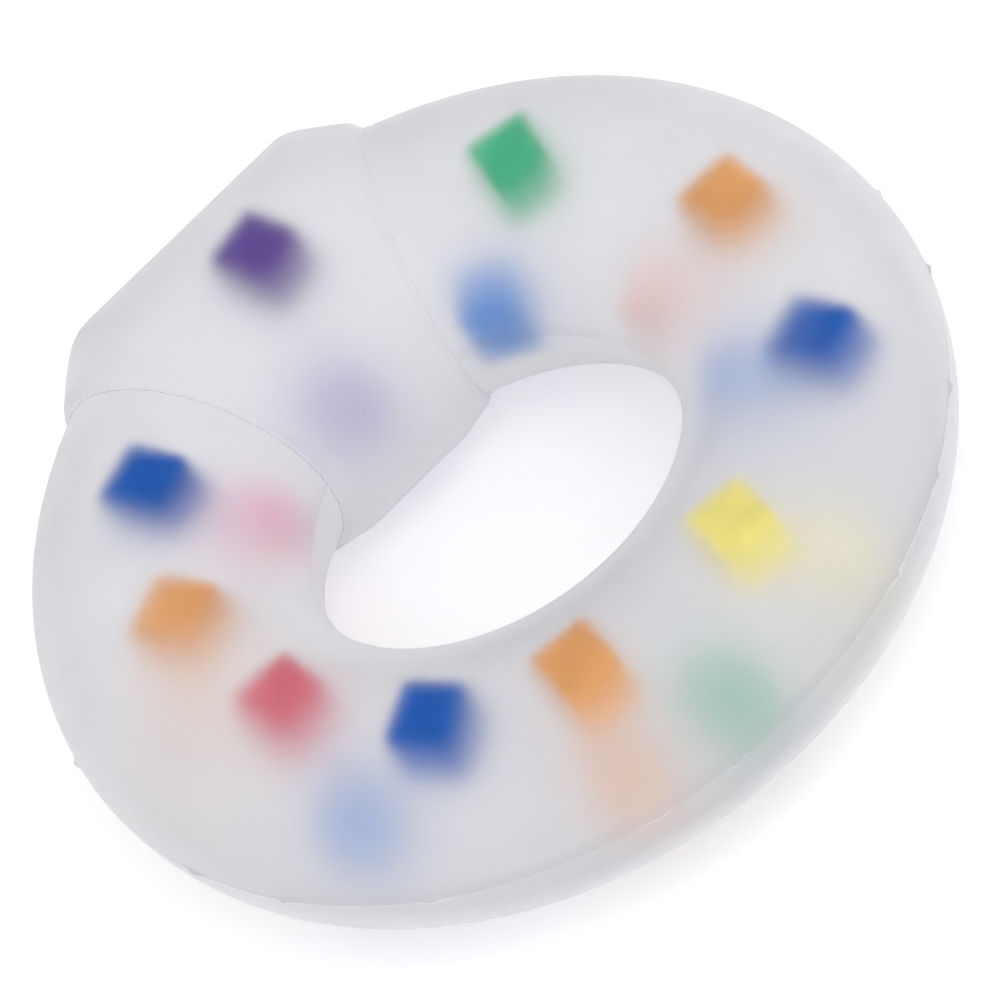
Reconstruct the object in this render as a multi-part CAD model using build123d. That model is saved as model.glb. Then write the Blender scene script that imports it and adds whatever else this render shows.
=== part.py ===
from build123d import *
import math
import os

# A fat hollow teething ring that lies flat: two half shells meet on the mid-plane, a straight
# barrel collar closes the gap between their ends, and loose coloured blocks are sealed inside.
# Millimetres, +Z up. The origin is the centre of the ring, on its mid-plane. The collar is on +Y.

# ---- the ring tube ----
RING_RADIUS = 30.0          # from the ring's centre to the middle of the tube
TUBE_RADIUS = 12.2          # outside radius of the tube at the two sides, on +X and -X
TUBE_TAPER = 0.059          # the tube is this share fatter at the collar and thinner opposite
WALL = 1.2                  # wall of the two half shells
SECTIONS = 25               # sections along each half shell

# ---- the collar ----
COLLAR_SIDE = 90.0          # direction of the collar's middle, seen from the ring's centre
COLLAR_OFFSET = 29.2        # from the ring's centre to the barrel's axis, which runs along X
COLLAR_RADIUS = 15.2        # outside radius of the barrel
COLLAR_BORE = 13.8          # radius of the open chamber in the middle of the barrel
CHAMBER_ANGLE = 15.0        # the chamber ends here, each side of the collar's middle
STOP_RADIUS = 12.3          # inside radius of the thin lip that an end of the tube butts against
SOCKET_ANGLE = 16.0         # the lip and the tube meet here
GLUE_GAP = 0.1              # glue line between the tube and its socket
BARREL_ANGLE = 17.5         # the straight barrel ends here
SHOULDER_ANGLE = 27.5       # the sloping shoulder ends here
SHOULDER_LIP = 0.5          # height of the shoulder's thin end over the tube
EDGE_ROUND = 1.2            # rounding of the edge between barrel and shoulder

# ---- the loose blocks ----
BLOCK_EDGE = 6.0
BLOCK_ROUND = 0.5

# name: angle round the ring, distance from its centre, height, turn about Z
UPPER_BLOCKS = {
    "block_upper_purple_collar": (85.5, 30.4, 9.7, 12.0),
    "block_upper_green": (39.5, 30.0, 7.5, 76.0),
    "block_upper_orange_east": (356.5, 31.2, 6.7, 88.0),
    "block_upper_blue_east": (323.0, 32.4, 5.3, 22.0),
    "block_upper_yellow": (286.0, 30.4, 6.2, 83.0),
    "block_upper_orange_front": (252.0, 30.0, 6.5, 82.0),
    "block_upper_blue_front": (225.5, 29.3, 6.4, 31.0),
    "block_upper_red": (194.5, 27.6, 5.9, 0.0),
    "block_upper_orange_west": (162.0, 28.1, 6.3, 25.0),
    "block_upper_blue_west": (132.0, 29.1, 7.4, 20.0),
}
LOWER_BLOCKS = {
    "block_lower_violet_collar": (90.5, 27.2, -5.2, 10.0),
    "block_lower_blue_east": (51.0, 23.4, -1.7, 50.0),
    "block_lower_coral": (6.0, 23.9, -1.2, 10.0),
    "block_lower_sky": (333.0, 24.2, -2.1, 60.0),
    "block_lower_yellow": (298.0, 29.6, -5.8, 20.0),
    "block_lower_teal": (268.5, 30.2, -4.9, 5.0),
    "block_lower_orange_front": (248.7, 29.6, -5.1, 65.0),
    "block_lower_blue_front": (206.0, 31.0, -3.0, 30.0),
    "block_lower_orange_west": (161.5, 30.4, -5.8, 75.0),
    "block_lower_pink": (127.0, 24.9, -2.6, 40.0),
}


def direction(angle):
    """Unit vector in the ring's plane at this angle from +X."""
    return (math.cos(math.radians(angle)), math.sin(math.radians(angle)), 0)


def tube_radius(angle):
    """Outside radius of the tube where it crosses this angle."""
    return TUBE_RADIUS * (1 + TUBE_TAPER * math.sin(math.radians(angle)))


def section_plane(angle, distance=RING_RADIUS):
    """Plane through the ring's axis at this angle: its own x points outwards and its y points up."""
    out = direction(angle)
    return Plane(
        origin=(distance * out[0], distance * out[1], 0),
        x_dir=out,
        z_dir=(out[1], -out[0], 0),
    )


def half_tube_section(angle, side):
    """One half of the tube's wall, above (side 1) or below (side -1) the mid-plane."""
    outer = tube_radius(angle)
    inner = outer - WALL
    outline = [
        Edge.make_three_point_arc((outer, 0), (0, side * outer), (-outer, 0)),
        Edge.make_line((-outer, 0), (-inner, 0)),
        Edge.make_three_point_arc((-inner, 0), (0, side * inner), (inner, 0)),
        Edge.make_line((inner, 0), (outer, 0)),
    ]
    return section_plane(angle) * Face(Wire(outline))


def half_shell(side):
    """A C-shaped half of the ring tube, with its two ends inside the collar."""
    start = COLLAR_SIDE + SOCKET_ANGLE
    sweep = 360 - 2 * SOCKET_ANGLE
    angles = [start + sweep * step / (SECTIONS - 1) for step in range(SECTIONS)]
    return loft([half_tube_section(angle, side) for angle in angles])


def wedge(half_angle):
    """Everything within half_angle of the collar's middle."""
    reach = 3 * RING_RADIUS
    left = direction(COLLAR_SIDE + half_angle)
    right = direction(COLLAR_SIDE - half_angle)
    corners = [(0, 0), (reach * right[0], reach * right[1]), (reach * left[0], reach * left[1])]
    return Pos(0, 0, -reach / 2) * extrude(make_face(Polyline(*corners, close=True)), amount=reach)


def barrel(radius, half_angle):
    """A straight cylinder along X whose ends are mitred on planes through the ring's axis."""
    bar = Pos(0, COLLAR_OFFSET, 0) * Rot(0, 90, 0) * Cylinder(radius, 3 * RING_RADIUS)
    return bar & wedge(half_angle)


def mitre_section(angle):
    """The barrel's own cut on a plane through the ring's axis, which is an ellipse."""
    stretch = 1 / math.cos(math.radians(angle - COLLAR_SIDE))
    plane = section_plane(angle, COLLAR_OFFSET * stretch)
    return plane * Ellipse(COLLAR_RADIUS * stretch, COLLAR_RADIUS)


def shoulder(sign):
    """The slope from the barrel's mitred end down to the tube."""
    fat_end = mitre_section(COLLAR_SIDE + sign * BARREL_ANGLE)
    thin_angle = COLLAR_SIDE + sign * SHOULDER_ANGLE
    thin_end = section_plane(thin_angle) * Circle(tube_radius(thin_angle) + SHOULDER_LIP)
    return loft([fat_end, thin_end], ruled=True)


def socket(sign):
    """The space in the collar for one end of the tube and the glue round it."""
    first = COLLAR_SIDE + sign * SOCKET_ANGLE
    last = COLLAR_SIDE + sign * (SHOULDER_ANGLE + 6)
    angles = [first + (last - first) * step / 4 for step in range(5)]
    return loft([section_plane(angle) * Circle(tube_radius(angle) + GLUE_GAP) for angle in angles])


def collar():
    """A barrel and two shoulders, hollowed by a chamber, two stop lips and two sockets."""
    body = barrel(COLLAR_RADIUS, BARREL_ANGLE) + shoulder(1) + shoulder(-1)
    rims = [
        edge
        for edge in body.edges()
        if abs(abs(math.degrees(math.atan2(edge.center().X, edge.center().Y))) - BARREL_ANGLE) < 1
    ]
    body = fillet(rims, EDGE_ROUND)
    body -= barrel(COLLAR_BORE, CHAMBER_ANGLE)
    body -= barrel(STOP_RADIUS, SOCKET_ANGLE)
    return body - socket(1) - socket(-1)


def block(angle, distance, height, turn):
    """A loose cube with slightly rounded edges."""
    out = direction(angle)
    cube = Box(BLOCK_EDGE, BLOCK_EDGE, BLOCK_EDGE)
    cube = fillet(cube.edges(), BLOCK_ROUND)
    return Pos(distance * out[0], distance * out[1], height) * Rot(0, 0, turn) * cube


parts = {
    "shell_upper": half_shell(1),
    "shell_lower": half_shell(-1),
    "collar": collar(),
}
for name, place in {**UPPER_BLOCKS, **LOWER_BLOCKS}.items():
    parts[name] = block(*place)

os.makedirs("parts", exist_ok=True)
for name, shape in parts.items():
    export_step(shape, f"parts/{name}.step")
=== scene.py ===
import bpy
import math
from mathutils import Matrix, Vector


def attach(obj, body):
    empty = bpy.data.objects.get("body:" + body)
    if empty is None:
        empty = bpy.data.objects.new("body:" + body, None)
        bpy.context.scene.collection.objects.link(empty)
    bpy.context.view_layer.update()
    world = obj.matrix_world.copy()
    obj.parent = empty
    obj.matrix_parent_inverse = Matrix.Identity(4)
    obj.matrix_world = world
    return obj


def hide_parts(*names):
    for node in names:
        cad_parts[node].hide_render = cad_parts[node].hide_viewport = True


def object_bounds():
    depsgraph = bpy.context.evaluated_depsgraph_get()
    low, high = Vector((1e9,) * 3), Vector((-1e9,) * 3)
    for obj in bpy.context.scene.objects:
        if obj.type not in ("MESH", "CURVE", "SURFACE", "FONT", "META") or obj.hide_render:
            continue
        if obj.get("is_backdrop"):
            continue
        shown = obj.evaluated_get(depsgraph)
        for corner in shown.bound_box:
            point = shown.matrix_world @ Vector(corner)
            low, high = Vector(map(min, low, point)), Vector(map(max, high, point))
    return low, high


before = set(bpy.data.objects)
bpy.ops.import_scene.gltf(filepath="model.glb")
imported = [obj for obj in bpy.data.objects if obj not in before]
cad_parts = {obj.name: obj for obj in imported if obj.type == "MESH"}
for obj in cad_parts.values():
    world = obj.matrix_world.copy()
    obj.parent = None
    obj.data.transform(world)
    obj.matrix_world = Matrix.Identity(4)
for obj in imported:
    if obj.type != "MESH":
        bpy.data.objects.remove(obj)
cad_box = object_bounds()

MM = 0.001

# ---- sizes of the ring, as in the CAD model ----
RING_RADIUS = 30.0 * MM
TUBE_RADIUS = 12.2 * MM
TUBE_TAPER = 0.059
WALL = 1.2 * MM
COLLAR_SIDE = 90.0
COLLAR_OFFSET = 29.2 * MM
COLLAR_RADIUS = 15.2 * MM
COLLAR_BORE = 13.8 * MM
CHAMBER_ANGLE = 15.0
STOP_RADIUS = 12.3 * MM
SOCKET_ANGLE = 16.0
GLUE_GAP = 0.1 * MM
BARREL_ANGLE = 17.5
SHOULDER_ANGLE = 27.5
SHOULDER_LIP = 0.5 * MM

# ---- the two half skins ----
SKIN_END = 27.0              # degrees from the collar's middle; the rest is out of sight in it
HIDDEN_STEPS = 2             # loops of a skin inside the collar, at each end
SEEN_STEPS = 390             # loops of a skin between the two ends of the collar
NEAR_SEAM = (0, 0.3, 0.6, 0.9, 1.3, 1.8, 2.4, 3.2, 4.2, 5.5, 7)
ACROSS = [*NEAR_SEAM, *range(9, 173, 2), *(180 - across for across in reversed(NEAR_SEAM))]
INNER_ACROSS = range(180, -1, -5)
RIDGE_HEIGHT = 0.05 * MM     # parting line round the ring
RIDGE_WIDTH = 0.22 * MM
NUB_HEIGHT = 0.35 * MM       # small nubs of flash on the parting line
NUB_LENGTH = 0.5 * MM
NUB_WIDTH = 0.35 * MM
NUB_ANGLES = (118, 131, 152, 163, 189, 203, 222, 251, 262, 291, 305, 318, 337, 352, 11, 29, 47)
SHARP_ANGLE = 50.0           # edges with a bigger angle than this are not smoothed over

# ---- the collar ----
ROUNDING = 1.6               # degrees over which the edge between barrel and shoulder is rounded
LIP_ROUND = 2.4              # degrees over which the collar's lip runs down to the tube
LIP_STEPS = 12
BARREL_STEPS = 140           # loops of the collar's outside between its two lips
COLLAR_AROUND = 144          # points of each of its loops
INSIDE_STEPS = 8             # loops of each socket and of the chamber

# ---- the cloudy inside ----
MILK_GAP = 0.03 * MM         # it starts this far under the outer surface
CLEAR_TOP = 2.6 * MM         # and this much further under the top, as cloudiness settles
MILK_STEPS = 480
MILK_AROUND = 96
MILK_DENSITY = 44.0
# painted glow: the filling's emission, light of its own that stands in for light scattered in it
MILK_PAINTED_GLOW = 1.0

# ---- the skins' look ----
SKIN_ROUGHNESS = 0.90
GRAIN_ROUGHNESS = 0.06       # the grain makes the skin this much rougher or smoother
GRAZE_START = 0.5            # the skin starts to look solid where it is seen this far edge-on
GRAZE_SHARE = 0.85           # and is this solid where it is seen fully edge-on

# A deep cube has a paler paint than a near one of the same colour: painted light, the paleness stands in
# for the bright veil of the filling over it.
BLOCK_COLOURS = {
    "purple": (0.125, 0.068, 0.325),
    "green": (0.072, 0.535, 0.26),
    "orange": (0.89, 0.415, 0.142),
    "lower_blue": (0.02, 0.24, 0.74),
    "blue": (0.0, 0.105, 0.49),
    "lower_yellow": (0.97, 0.88, 0.38),
    "yellow": (0.97, 0.84, 0.225),
    "red": (0.77, 0.156, 0.203),
    "violet": (0.13, 0.09, 0.54),
    "coral": (0.96, 0.62, 0.56),
    "sky": (0.0, 0.22, 0.72),
    "teal": (0.0, 0.42, 0.25),
    "pink": (0.95, 0.40, 0.56),
}

# ---- stage, light and camera ----
FLOOR_SIZE = 3.0
FLOOR_COLOUR = (0.96, 0.96, 0.965, 1)
FLOOR_ROUGHNESS = 0.9
WORLD_STRENGTH = 1.0
LIGHT_PLACE = Vector((0.0, -0.50, 0.55))
LIGHT_POWER = 3.0
LIGHT_SIZE = 0.7
CAMERA_DISTANCE = 856.5 * MM
CAMERA_AZIMUTH = -13.85      # degrees; 0 looks along +Y
CAMERA_ELEVATION = 45.0
CAMERA_ROLL = -34.52
CENTRE_RIGHT = -0.345 * MM   # where the ring's centre stands in the view
CENTRE_DOWN = -0.084 * MM


# ---------------------------------------------------------------- materials

def new_material(name):
    """A node material with its Principled shader, ready for values and links."""
    mat = bpy.data.materials.new(name)
    mat.use_nodes = True
    return mat, mat.node_tree.nodes, mat.node_tree.links, mat.node_tree.nodes["Principled BSDF"]


def add_node(nodes, kind, **inputs):
    """A new node with these inputs set; an underscore stands for a space in an input's name."""
    node = nodes.new(kind)
    for key, value in inputs.items():
        node.inputs[key.replace("_", " ")].default_value = value
    return node


def add_ramp(nodes, first, second):
    """A colour ramp between two stops, each a position and a colour."""
    ramp = nodes.new("ShaderNodeValToRGB")
    for element, (position, colour) in zip(ramp.color_ramp.elements, (first, second)):
        element.position = position
        element.color = (*colour, 1)
    return ramp


def add_bump(nodes, links, height, shader, strength, distance):
    """Lets the height roughen the shader's surface."""
    bump = add_node(nodes, "ShaderNodeBump", Strength=strength, Distance=distance)
    links.new(height, bump.inputs["Height"])
    links.new(bump.outputs["Normal"], shader.inputs["Normal"])


def skin_material(name):
    """Milky, satin, see-through plastic: it shows what touches it sharply and blurs what is deep."""
    mat, nodes, links, shader = new_material(name)
    place = nodes.new("ShaderNodeTexCoord")

    cloud = add_node(nodes, "ShaderNodeTexNoise", Scale=90.0, Detail=3.0)
    links.new(place.outputs["Object"], cloud.inputs["Vector"])
    tint = add_ramp(nodes, (0.35, (0.69, 0.69, 0.715)), (0.7, (0.735, 0.73, 0.75)))
    links.new(cloud.outputs["Fac"], tint.inputs["Fac"])

    specks = add_node(nodes, "ShaderNodeTexVoronoi", Scale=420.0, Randomness=1.0)
    links.new(place.outputs["Object"], specks.inputs["Vector"])
    dot = add_node(nodes, "ShaderNodeMapRange", From_Min=0.03, From_Max=0.06, To_Min=1.0, To_Max=0.0)
    links.new(specks.outputs["Distance"], dot.inputs["Value"])
    dusty = nodes.new("ShaderNodeMix")
    dusty.data_type = "RGBA"
    dusty.inputs["B"].default_value = (0.60, 0.59, 0.61, 1)
    links.new(dot.outputs["Result"], dusty.inputs["Factor"])
    links.new(tint.outputs["Color"], dusty.inputs["A"])
    links.new(dusty.outputs["Result"], shader.inputs["Base Color"])

    grain = add_node(nodes, "ShaderNodeTexNoise", Scale=1400.0, Detail=4.0)
    links.new(place.outputs["Object"], grain.inputs["Vector"])
    rough = add_node(nodes, "ShaderNodeMapRange",
                     To_Min=SKIN_ROUGHNESS - GRAIN_ROUGHNESS, To_Max=SKIN_ROUGHNESS + GRAIN_ROUGHNESS)
    links.new(grain.outputs["Fac"], rough.inputs["Value"])
    links.new(rough.outputs["Result"], shader.inputs["Roughness"])
    add_bump(nodes, links, grain.outputs["Fac"], shader, 0.12, 0.0002)

    graze = add_node(nodes, "ShaderNodeLayerWeight", Blend=0.5)
    clear = add_node(nodes, "ShaderNodeMapRange",
                     From_Min=GRAZE_START, From_Max=1.0, To_Min=1.0, To_Max=1.0 - GRAZE_SHARE)
    links.new(graze.outputs["Facing"], clear.inputs["Value"])
    links.new(clear.outputs["Result"], shader.inputs["Transmission Weight"])
    shader.inputs["IOR"].default_value = 1.30
    return mat


def clear_material(name):
    """The inside of a skin, which the filling wets so that it bends no light."""
    mat = bpy.data.materials.new(name)
    mat.use_nodes = True
    nodes = mat.node_tree.nodes
    nodes.remove(nodes["Principled BSDF"])
    clear = nodes.new("ShaderNodeBsdfTransparent")
    mat.node_tree.links.new(clear.outputs["BSDF"], nodes["Material Output"].inputs["Surface"])
    return mat


def filling_material(name):
    """Cloudy water-like filling: the deeper something is in it, the paler it looks. Its even emission is
    painted glow, light of its own that stands in for the light scattered in the filling.
    """
    mat = clear_material(name)
    nodes, links = mat.node_tree.nodes, mat.node_tree.links
    fade = add_node(nodes, "ShaderNodeVolumeAbsorption", Color=(0, 0, 0, 1), Density=MILK_DENSITY)
    # painted glow: an emission that stands in for the light the cloudiness scatters; the filling is no
    # lamp
    painted_milk_glow = add_node(nodes, "ShaderNodeEmission",
                    Color=(0.985, 0.98, 1.0, 1), Strength=MILK_DENSITY * MILK_PAINTED_GLOW)
    both = nodes.new("ShaderNodeAddShader")
    links.new(fade.outputs["Volume"], both.inputs[0])
    links.new(painted_milk_glow.outputs["Emission"], both.inputs[1])
    links.new(both.outputs["Shader"], nodes["Material Output"].inputs["Volume"])
    return mat


def block_material(name, colour):
    """Solid-coloured moulded plastic with a slight mottle and a fine grain."""
    mat, nodes, links, shader = new_material(name)
    place = nodes.new("ShaderNodeTexCoord")
    mottle = add_node(nodes, "ShaderNodeTexNoise", Scale=350.0, Detail=4.0)
    links.new(place.outputs["Object"], mottle.inputs["Vector"])
    darker = tuple(0.88 * c for c in colour)
    lighter = tuple(min(1, 1.06 * c + 0.004) for c in colour)
    ramp = add_ramp(nodes, (0.3, darker), (0.75, lighter))
    links.new(mottle.outputs["Fac"], ramp.inputs["Fac"])
    links.new(ramp.outputs["Color"], shader.inputs["Base Color"])
    add_bump(nodes, links, mottle.outputs["Fac"], shader, 0.15, 0.0001)
    shader.inputs["Roughness"].default_value = 0.55
    shader.inputs["Specular IOR Level"].default_value = 0.08
    return mat


# ---------------------------------------------------------------- shapes

def direction(angle):
    """Unit vector in the ring's plane at this angle from +X."""
    return Vector((math.cos(math.radians(angle)), math.sin(math.radians(angle)), 0))


def tube_radius(angle):
    """Outside radius of the tube where it crosses this angle."""
    return TUBE_RADIUS * (1 + TUBE_TAPER * math.sin(math.radians(angle)))


def ring_point(angle, out, up):
    """The point at this angle round the ring, this far from its centre and this high."""
    return direction(angle) * out + Vector((0, 0, up))


def tube_point(angle, radius, theta):
    """The point this far from the middle of the tube; theta 0 is outwards and 90 degrees is up."""
    return ring_point(angle, RING_RADIUS + radius * math.cos(theta), radius * math.sin(theta))


def bell(distance, width):
    """1 at no distance, falling smoothly to nothing over about twice the width."""
    return math.exp(-((distance / width) ** 2))


def parting_rise(angle, height, outer):
    """How far the skin stands proud near the parting line; only its outer side has nubs."""
    rise = RIDGE_HEIGHT * bell(height, RIDGE_WIDTH)
    if not outer:
        return rise
    for nub in NUB_ANGLES:
        away = math.radians(angle - nub + 180) % (2 * math.pi) - math.pi
        along = away * (RING_RADIUS + TUBE_RADIUS)
        rise += NUB_HEIGHT * bell(along, NUB_LENGTH) * bell(height, NUB_WIDTH)
    return rise


def mesh_object(name, verts, faces, slots, materials):
    """A smooth-shaded object whose face i uses materials[slots[i]]."""
    mesh = bpy.data.meshes.new(name)
    mesh.from_pydata(verts, [], faces)
    for mat in materials:
        mesh.materials.append(mat)
    mesh.polygons.foreach_set("material_index", slots)
    mesh.polygons.foreach_set("use_smooth", [True] * len(faces))
    mesh.set_sharp_from_angle(angle=math.radians(SHARP_ANGLE))
    mesh.update()
    obj = bpy.data.objects.new(name, mesh)
    bpy.context.scene.collection.objects.link(obj)
    return obj


def loops_to_faces(loop_count, loop_size, slot_of):
    """Quads between neighbouring closed loops of loop_size points, and the slot of each."""
    faces, slots = [], []
    for i in range(loop_count - 1):
        for j in range(loop_size):
            k = (j + 1) % loop_size
            faces.append((i * loop_size + j, i * loop_size + k,
                          (i + 1) * loop_size + k, (i + 1) * loop_size + j))
            slots.append(slot_of(i, j))
    return faces, slots


def half_skin(name, side, materials):
    """One half of the ring's skin: a curved wall, open towards the other half."""
    hidden = [SKIN_END + (SHOULDER_ANGLE - SKIN_END) * i / HIDDEN_STEPS for i in range(HIDDEN_STEPS)]
    sweep = 360 - 2 * SHOULDER_ANGLE
    seen = [SHOULDER_ANGLE + sweep * i / SEEN_STEPS for i in range(SEEN_STEPS + 1)]
    offsets = hidden + seen + [360 - offset for offset in reversed(hidden)]
    verts = []
    for offset in offsets:
        angle = COLLAR_SIDE + offset
        radius = tube_radius(angle)
        for across in ACROSS:
            theta = math.radians(across)
            height = radius * math.sin(theta)
            r = radius + parting_rise(angle, height, outer=across < 90)
            up = height if across in (0, 180) else r * math.sin(theta)
            verts.append(ring_point(angle, RING_RADIUS + r * math.cos(theta), side * up))
        for across in INNER_ACROSS:
            verts.append(tube_point(angle, radius - WALL, side * math.radians(across)))

    def slot_of(i, j):
        outside = j < len(ACROSS) - 1
        return 0 if outside and HIDDEN_STEPS <= i < HIDDEN_STEPS + SEEN_STEPS else 1

    loop_size = len(ACROSS) + len(INNER_ACROSS)
    faces, slots = loops_to_faces(len(offsets), loop_size, slot_of)
    faces.append(tuple(reversed(range(loop_size))))
    faces.append(tuple(range(len(verts) - loop_size, len(verts))))
    slots += [1, 1]
    if side > 0:
        faces = [tuple(reversed(face)) for face in faces]
    return mesh_object(name, verts, faces, slots, materials)


def barrel_section(offset, theta):
    """Distance outwards and height of the barrel's outside, offset degrees from its middle."""
    stretch = 1 / math.cos(math.radians(offset))
    return (COLLAR_OFFSET * stretch + COLLAR_RADIUS * stretch * math.cos(theta),
            COLLAR_RADIUS * math.sin(theta))


def sharp_collar_section(offset, theta):
    """The same for the whole collar, with a sharp edge between barrel and shoulder."""
    away = abs(offset)
    if away <= BARREL_ANGLE:
        return barrel_section(away, theta)
    fat_out, fat_up = barrel_section(BARREL_ANGLE, theta)
    radius = tube_radius(COLLAR_SIDE + SHOULDER_ANGLE) + SHOULDER_LIP
    thin_out = RING_RADIUS + radius * math.cos(theta)
    thin_up = radius * math.sin(theta)
    share = (away - BARREL_ANGLE) / (SHOULDER_ANGLE - BARREL_ANGLE)
    return fat_out + (thin_out - fat_out) * share, fat_up + (thin_up - fat_up) * share


def collar_section(offset, theta):
    """The same with that edge rounded and with a lip that runs down to the tube."""
    away = abs(offset)
    spread = min(ROUNDING, SHOULDER_ANGLE - away)
    samples = [sharp_collar_section(offset + spread * k / 4, theta) for k in range(-4, 5)]
    out = sum(sample[0] for sample in samples) / len(samples)
    up = sum(sample[1] for sample in samples) / len(samples)
    into_lip = (away - (SHOULDER_ANGLE - LIP_ROUND)) / LIP_ROUND
    if into_lip <= 0:
        return out, up
    height = (1 + math.cos(math.pi * into_lip)) / 2
    radius = tube_radius(COLLAR_SIDE + offset)
    tube_out, tube_up = RING_RADIUS + radius * math.cos(theta), radius * math.sin(theta)
    return tube_out + (out - tube_out) * height, tube_up + (up - tube_up) * height


def even_steps(first, last, steps):
    """Numbers from first to last, evenly spaced."""
    return [first + (last - first) * i / steps for i in range(steps + 1)]


def collar_skin(name, materials):
    """The barrel with its two shoulders outside, and inside two sockets and a chamber."""
    thetas = [2 * math.pi * j / COLLAR_AROUND for j in range(COLLAR_AROUND)]
    lip_start = SHOULDER_ANGLE - LIP_ROUND
    lip = even_steps(lip_start, SHOULDER_ANGLE, LIP_STEPS)[1:]
    middle = even_steps(-lip_start, lip_start, BARREL_STEPS)
    outside = [-offset for offset in reversed(lip)] + middle + lip
    verts = []
    for offset in outside:
        for theta in thetas:
            verts.append(ring_point(COLLAR_SIDE + offset, *collar_section(offset, theta)))

    def add_socket_loop(offset):
        angle = COLLAR_SIDE + offset
        for theta in thetas:
            verts.append(tube_point(angle, tube_radius(angle) + GLUE_GAP, theta))

    def add_bore_loop(offset, bore):
        stretch = 1 / math.cos(math.radians(offset))
        for theta in thetas:
            out = (COLLAR_OFFSET + bore * math.cos(theta)) * stretch
            verts.append(ring_point(COLLAR_SIDE + offset, out, bore * math.sin(theta)))

    for offset in even_steps(SHOULDER_ANGLE, SOCKET_ANGLE, INSIDE_STEPS):
        add_socket_loop(offset)
    add_bore_loop(SOCKET_ANGLE, STOP_RADIUS)
    add_bore_loop(CHAMBER_ANGLE, STOP_RADIUS)
    for offset in even_steps(CHAMBER_ANGLE, -CHAMBER_ANGLE, INSIDE_STEPS):
        add_bore_loop(offset, COLLAR_BORE)
    add_bore_loop(-CHAMBER_ANGLE, STOP_RADIUS)
    add_bore_loop(-SOCKET_ANGLE, STOP_RADIUS)
    for offset in even_steps(-SOCKET_ANGLE, -SHOULDER_ANGLE, INSIDE_STEPS):
        add_socket_loop(offset)

    loop_count = len(verts) // COLLAR_AROUND
    faces, slots = loops_to_faces(loop_count, COLLAR_AROUND, lambda i, j: 0 if i < len(outside) else 1)
    last = len(verts) - COLLAR_AROUND
    for j in range(COLLAR_AROUND):
        k = (j + 1) % COLLAR_AROUND
        faces.append((last + j, last + k, k, j))
        slots.append(0)
    return mesh_object(name, verts, [tuple(reversed(face)) for face in faces], slots, materials)


def milk_body(name, material):
    """What is under the skins as one closed body, a hair inside them but lower at the top."""
    verts = []
    for i in range(MILK_STEPS):
        away = (360 * i / MILK_STEPS + 180) % 360 - 180
        angle = COLLAR_SIDE + away
        for j in range(MILK_AROUND):
            theta = 2 * math.pi * j / MILK_AROUND
            if abs(away) < SHOULDER_ANGLE:
                out, up = collar_section(away, theta)
            else:
                radius = tube_radius(angle)
                out, up = RING_RADIUS + radius * math.cos(theta), radius * math.sin(theta)
            gap = MILK_GAP + CLEAR_TOP * max(0.0, math.sin(theta))
            verts.append(ring_point(angle, out - gap * math.cos(theta), up - gap * math.sin(theta)))
    faces = []
    for i in range(MILK_STEPS):
        n = (i + 1) % MILK_STEPS
        for j in range(MILK_AROUND):
            k = (j + 1) % MILK_AROUND
            faces.append((i * MILK_AROUND + j, n * MILK_AROUND + j,
                          n * MILK_AROUND + k, i * MILK_AROUND + k))
    return mesh_object(name, verts, faces, [0] * len(faces), [material])


# ---------------------------------------------------------------- the object

skin = skin_material("milky_skin")
collar_mat = skin_material("milky_collar_skin")
inside = clear_material("wetted_inside")

upper = half_skin("ring_skin_upper", 1, [skin, inside])
lower = half_skin("ring_skin_lower", -1, [skin, inside])
collar = collar_skin("collar_skin", [collar_mat, inside])
for piece, node, slot in (
    (upper, "shell_upper", "milky_shell"),
    (lower, "shell_lower", "milky_shell"),
    (collar, "collar", "milky_collar"),
):
    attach(piece, "ring")
    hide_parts(node)

# the filling body, whose material glows with painted light
painted_milk_glow = milk_body("milky_inside_painted_glow", filling_material("milky_inside_painted_glow"))
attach(painted_milk_glow, "ring")

block_materials = {c: block_material("block_" + c, rgb) for c, rgb in BLOCK_COLOURS.items()}
for node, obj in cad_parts.items():
    if not node.startswith("block_"):
        continue
    colour = next(c for c in BLOCK_COLOURS if "_" + c in node)
    for material_slot in obj.material_slots:
        material_slot.material = block_materials[colour]


# ---------------------------------------------------------------- stage, light and camera

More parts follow.
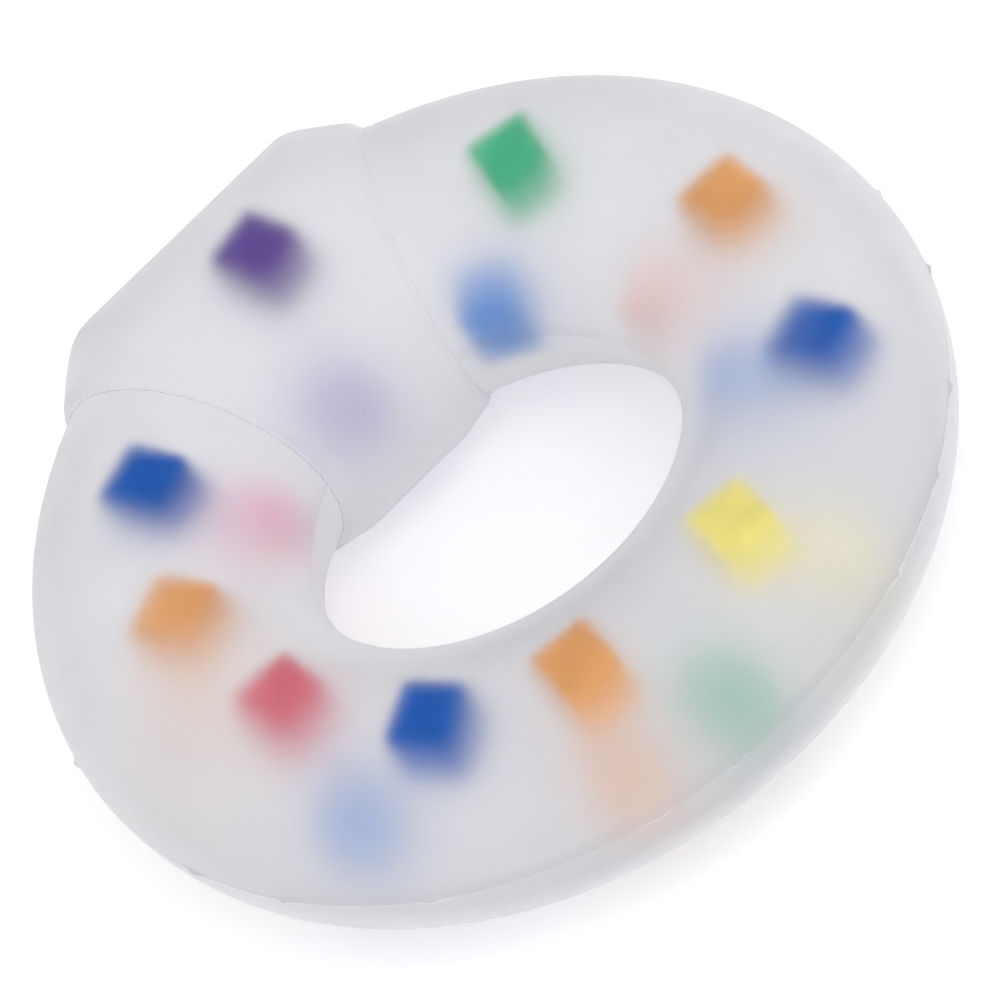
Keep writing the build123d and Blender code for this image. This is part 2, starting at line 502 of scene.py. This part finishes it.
def add_floor(height):
    """A plain pale floor under the ring."""
    corners = [(x * FLOOR_SIZE, y * FLOOR_SIZE, height) for x, y in ((-1, -1), (1, -1), (1, 1), (-1, 1))]
    mesh = bpy.data.meshes.new("floor")
    mesh.from_pydata(corners, [], [(0, 1, 2, 3)])
    floor = bpy.data.objects.new("floor", mesh)
    bpy.context.scene.collection.objects.link(floor)
    mat, _, _, shader = new_material("pale_floor")
    shader.inputs["Base Color"].default_value = FLOOR_COLOUR
    shader.inputs["Roughness"].default_value = FLOOR_ROUGHNESS
    mesh.materials.append(mat)
    floor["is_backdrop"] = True


def add_world():
    """Even white light from all round."""
    world = bpy.data.worlds.new("studio")
    world.use_nodes = True
    background = world.node_tree.nodes["Background"]
    background.inputs["Color"].default_value = (1.0, 1.0, 1.0, 1)
    background.inputs["Strength"].default_value = WORLD_STRENGTH
    bpy.context.scene.world = world


def add_soft_light(name):
    """A square panel in front of the ring that faces its centre."""
    lamp = bpy.data.lights.new(name, "AREA")
    lamp.energy = LIGHT_POWER
    lamp.size = LIGHT_SIZE
    obj = bpy.data.objects.new(name, lamp)
    obj.location = LIGHT_PLACE
    obj.rotation_mode = "QUATERNION"
    obj.rotation_quaternion = (-LIGHT_PLACE).to_track_quat("-Z", "Y")
    bpy.context.scene.collection.objects.link(obj)


def add_camera():
    """A long lens that looks down on the ring at 45 degrees."""
    azimuth, elevation = math.radians(CAMERA_AZIMUTH), math.radians(CAMERA_ELEVATION)
    back = Vector((math.sin(azimuth) * math.cos(elevation),
                   -math.cos(azimuth) * math.cos(elevation),
                   math.sin(elevation)))
    roll = Matrix.Rotation(math.radians(CAMERA_ROLL), 4, "Z")
    turn = (-back).to_track_quat("-Z", "Y").to_matrix().to_4x4() @ roll
    aside = turn @ Vector((-CENTRE_RIGHT, CENTRE_DOWN, 0))
    data = bpy.data.cameras.new("camera")
    data.sensor_width = 36.0
    data.lens = 360.0
    camera = bpy.data.objects.new("camera", data)
    camera.matrix_world = Matrix.Translation(back * CAMERA_DISTANCE + aside) @ turn
    bpy.context.scene.collection.objects.link(camera)
    bpy.context.scene.camera = camera


add_floor(cad_box[0].z)
add_world()
add_soft_light("light_front")
add_camera()
bpy.context.scene.view_settings.view_transform = "Standard"

[[list(corner) for corner in box] for box in (cad_box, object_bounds())]
